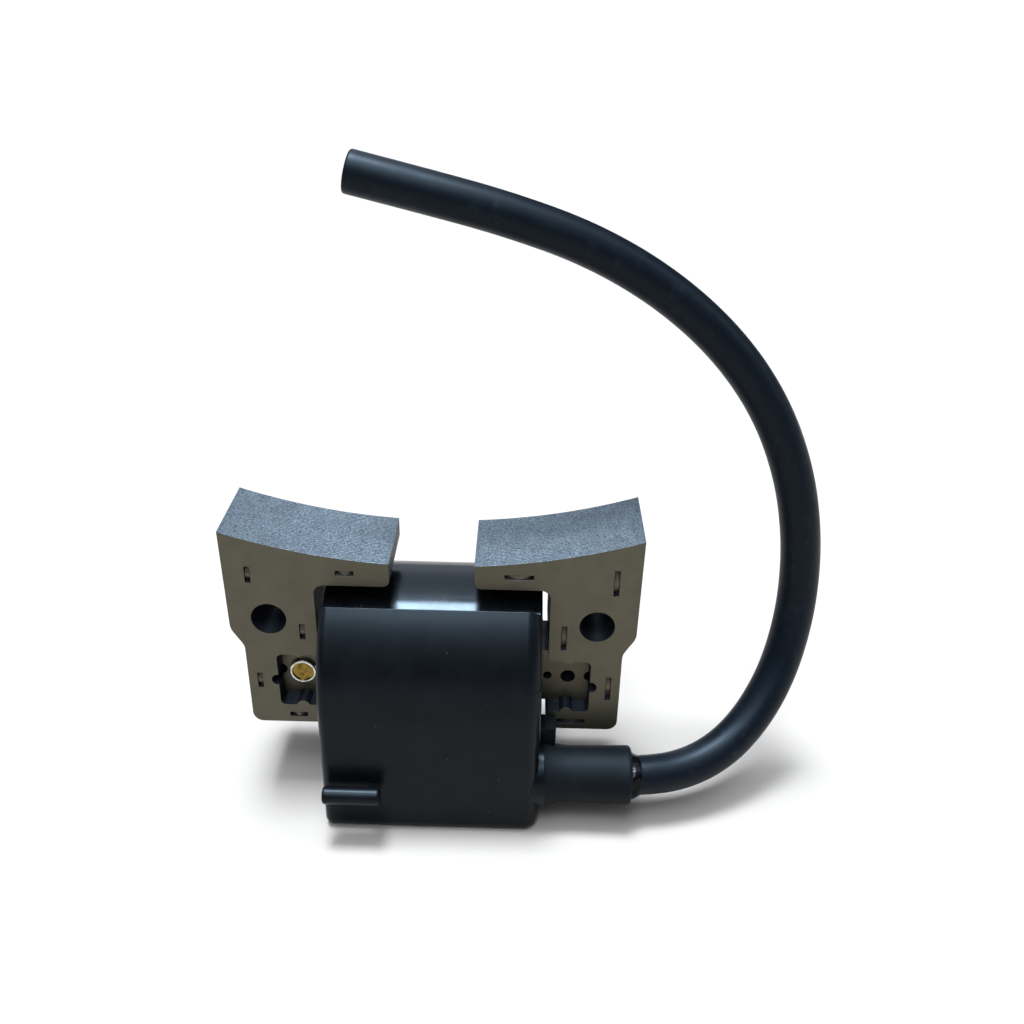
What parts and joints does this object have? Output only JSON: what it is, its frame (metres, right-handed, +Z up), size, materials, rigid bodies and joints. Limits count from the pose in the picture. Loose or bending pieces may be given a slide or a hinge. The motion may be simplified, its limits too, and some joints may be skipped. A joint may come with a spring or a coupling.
{
  "type": "ignition coil",
  "caption": "Flywheel ignition coil: laminated two-leg core with pole shoes, round potted winding in a black case with a square electronics box, and a stiff bare-ended high-tension lead.",
  "frame": {"origin": "midpoint between the two mounting holes, on the front face of the core", "axes": "+X along the row of mounting holes towards the lead boss, +Y through the core from front to back, +Z up towards the flywheel"},
  "size_m": [0.1104, 0.0446, 0.1181],
  "materials": {
    "core_steel": "ground and phosphated electrical-steel laminations, satin",
    "case_plastic": "black moulded thermoset, satin to gloss",
    "resin": "black epoxy potting",
    "bobbin_plastic": "natural glass-filled nylon",
    "copper_wire": "enamelled copper wire",
    "board_laminate": "green epoxy-glass laminate",
    "component_plastic": "black moulded component body",
    "capacitor_plastic": "red moulded capacitor body",
    "tinned_metal": "tinned copper or brass",
    "brass": "bare brass",
    "sealant": "black wet-look silicone sealant",
    "lead_rubber": "black satin high-tension cable jacket",
    "wire_insulation": "black hook-up wire"
  },
  "bodies": {
    "root": {"core_leg_left": "core_steel", "core_leg_right": "core_steel", "core_bar": "core_steel", "coil_case": "case_plastic", "potting_resin": "resin", "primary_bobbin": "bobbin_plastic", "secondary_bobbin": "bobbin_plastic", "primary_winding": "copper_wire", "secondary_winding": "copper_wire", "circuit_board": "board_laminate", "board_pins": "tinned_metal", "power_transistor": "component_plastic", "heat_spreader": "copper_wire", "control_chip": "component_plastic", "chip_resistors": "component_plastic", "film_capacitors": "capacitor_plastic", "clamp_diode": "component_plastic", "kill_terminal": "tinned_metal", "stop_wire": "wire_insulation", "primary_start_wire": "copper_wire", "primary_finish_wire": "copper_wire", "ht_output_wire": "copper_wire", "ht_terminal": "brass", "ground_eyelet": "tinned_metal", "ground_rivet": "brass", "ht_seal": "sealant", "ht_lead": "lead_rubber", "ht_conductor": "copper_wire"}
  },
  "joints": []
}
